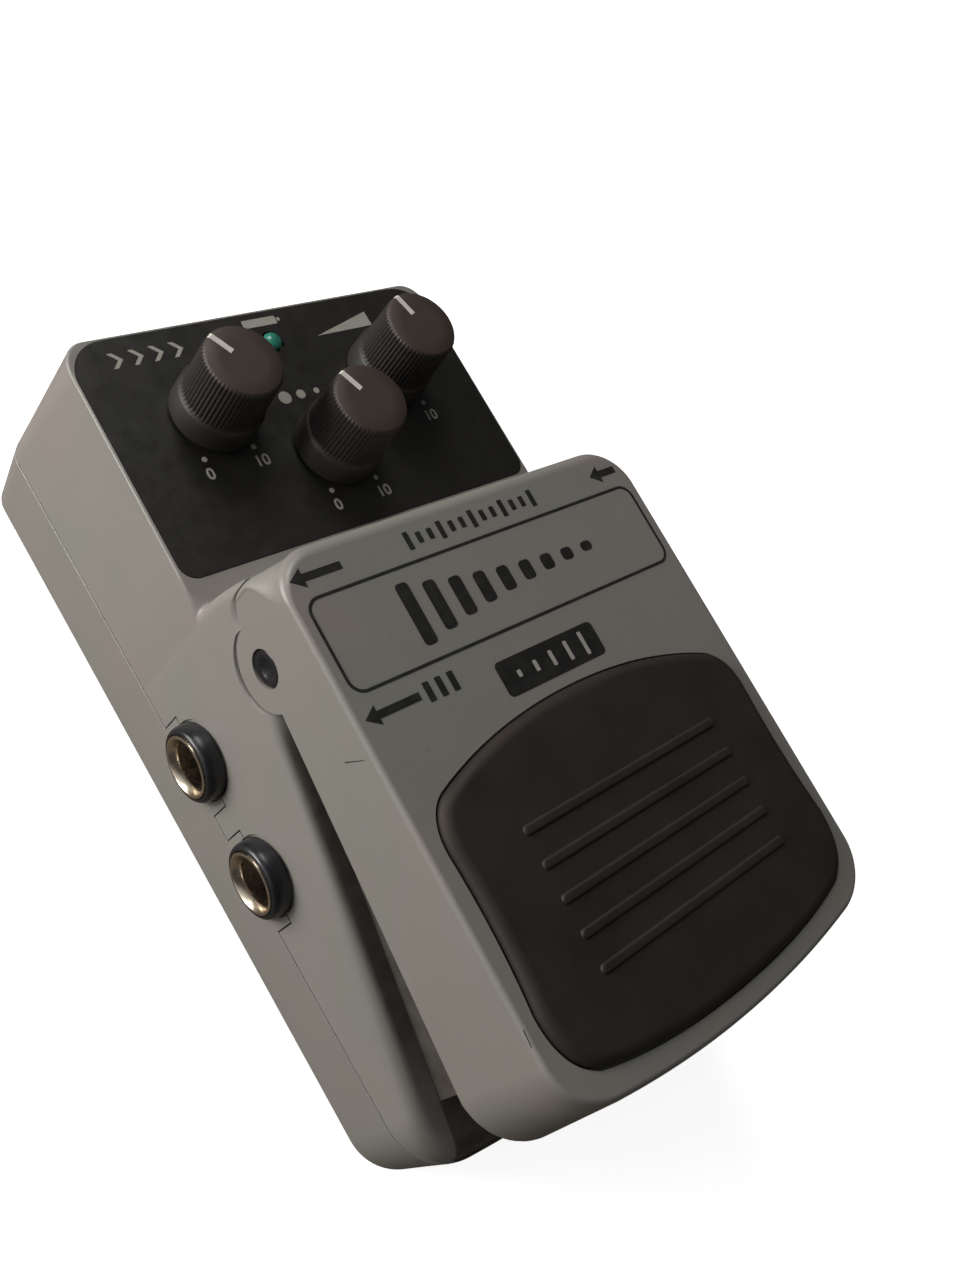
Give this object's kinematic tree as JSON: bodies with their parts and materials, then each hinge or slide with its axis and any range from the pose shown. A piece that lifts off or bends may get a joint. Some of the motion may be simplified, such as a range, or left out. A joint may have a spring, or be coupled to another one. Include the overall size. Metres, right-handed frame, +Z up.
{
  "type": "delay pedal",
  "caption": "Compact moulded guitar effect pedal with a hinged treadle, rubber pad, black control deck with turning knobs, jack sockets in both sides and a power inlet at the back.",
  "frame": {"origin": "on the floor, under the middle of the case, at the underside of the rubber feet", "axes": "+Z up, +Y to the back (control deck), +X to the right-hand (input jack) side"},
  "size_m": [0.0754, 0.1238, 0.0534],
  "materials": {
    "case_grey": "moulded ABS, satin",
    "panel_black": "printed polycarbonate overlay, satin",
    "knob_black": "moulded ABS, fine matt texture",
    "pad_rubber": "moulded rubber, matt",
    "foot_rubber": "moulded rubber, matt",
    "nickel": "nickel-plated",
    "spring_steel": "bare wire and zinc-plated screws",
    "dark_plastic": "moulded nylon, satin",
    "board_green": "glass-fibre laminate with solder mask",
    "battery_wrap": "painted metal jacket",
    "lens_green": "clear tinted epoxy",
    "ribbon_grey": "grey PVC and nylon"
  },
  "bodies": {
    "case": {"bottom_case": "case_grey", "top_case": "case_grey", "main_board": "board_green", "board_ribbon": "ribbon_grey", "power_inlet_body": "dark_plastic", "power_inlet_pin": "nickel", "battery_9v": "battery_wrap", "battery_snap": "dark_plastic", "foot_switch_body": "dark_plastic", "treadle_spring": "spring_steel", "control_panel": "panel_black", "control_board": "board_green", "led_lens": "lens_green", "pot_body_left": "dark_plastic", "pot_body_middle": "dark_plastic", "pot_body_right": "dark_plastic", "board_screw_deck_left": "spring_steel", "hinge_spring_left": "spring_steel", "board_screw_deck_right": "spring_steel", "hinge_spring_right": "spring_steel", "jack_nut_output": "dark_plastic", "jack_sleeve_output": "nickel", "jack_body_output": "dark_plastic", "jack_contact_output": "nickel", "jack_nut_direct": "dark_plastic", "jack_sleeve_direct": "nickel", "jack_body_direct": "dark_plastic", "jack_contact_direct": "nickel", "jack_nut_input": "dark_plastic", "jack_sleeve_input": "nickel", "jack_body_input": "dark_plastic", "jack_contact_input": "nickel", "case_screw_1": "spring_steel", "board_screw_1": "spring_steel", "rubber_foot_1": "foot_rubber", "case_screw_2": "spring_steel", "board_screw_2": "spring_steel", "rubber_foot_2": "foot_rubber", "case_screw_3": "spring_steel", "board_screw_3": "spring_steel", "rubber_foot_3": "foot_rubber", "case_screw_4": "spring_steel", "board_screw_4": "spring_steel", "rubber_foot_4": "foot_rubber"},
    "treadle": {"treadle_cover": "case_grey", "foot_pad": "pad_rubber"},
    "left_knob": {"knob_left": "knob_black", "pot_shaft_left": "ribbon_grey"},
    "middle_knob": {"knob_middle": "knob_black", "pot_shaft_middle": "ribbon_grey"},
    "right_knob": {"knob_right": "knob_black", "pot_shaft_right": "ribbon_grey"},
    "left_hinge_pin": {"hinge_pin_left": "dark_plastic"},
    "right_hinge_pin": {"hinge_pin_right": "dark_plastic"},
    "switch_plunger": {"foot_switch_plunger": "nickel"}
  },
  "joints": [
    {"name": "treadle_press", "type": "hinge", "parent": "case", "child": "treadle", "pos_m": [0, 0.0067, 0.0413], "axis": [1, 0, 0], "range_deg": [0, 6], "stiffness_Nm_per_rad": 1.2, "springref_deg": -14.32, "deforming": ["treadle_spring"]},
    {"name": "plunger_press", "type": "slide", "parent": "case", "child": "switch_plunger", "axis": [0, 0, -1], "range_m": [0, 0.0023]},
    {"name": "left_knob_turn", "type": "hinge", "parent": "case", "child": "left_knob", "pos_m": [-0.01585, 0.0457, 0.03603], "axis": [0, -0.0455, 0.999], "range_deg": [-183, 117]},
    {"name": "middle_knob_turn", "type": "hinge", "parent": "case", "child": "middle_knob", "pos_m": [0, 0.036, 0.03559], "axis": [0, -0.0455, 0.999], "range_deg": [-176, 124]},
    {"name": "right_knob_turn", "type": "hinge", "parent": "case", "child": "right_knob", "pos_m": [0.01585, 0.0457, 0.03603], "axis": [0, -0.0455, 0.999], "range_deg": [-168, 132]},
    {"name": "left_hinge_pin_push", "type": "slide", "parent": "case", "child": "left_hinge_pin", "axis": [1, 0, 0], "range_m": [0, 0.0033], "stiffness_N_per_m": 500, "springref_m": -0.006, "deforming": ["hinge_spring_left"]},
    {"name": "right_hinge_pin_push", "type": "slide", "parent": "case", "child": "right_hinge_pin", "axis": [-1, 0, 0], "range_m": [0, 0.0033], "stiffness_N_per_m": 500, "springref_m": -0.006, "deforming": ["hinge_spring_right"]}
  ],
  "couplings": [
    {"joint": "plunger_press", "follows": "treadle_press", "m_per_rad": 0.0219}
  ]
}
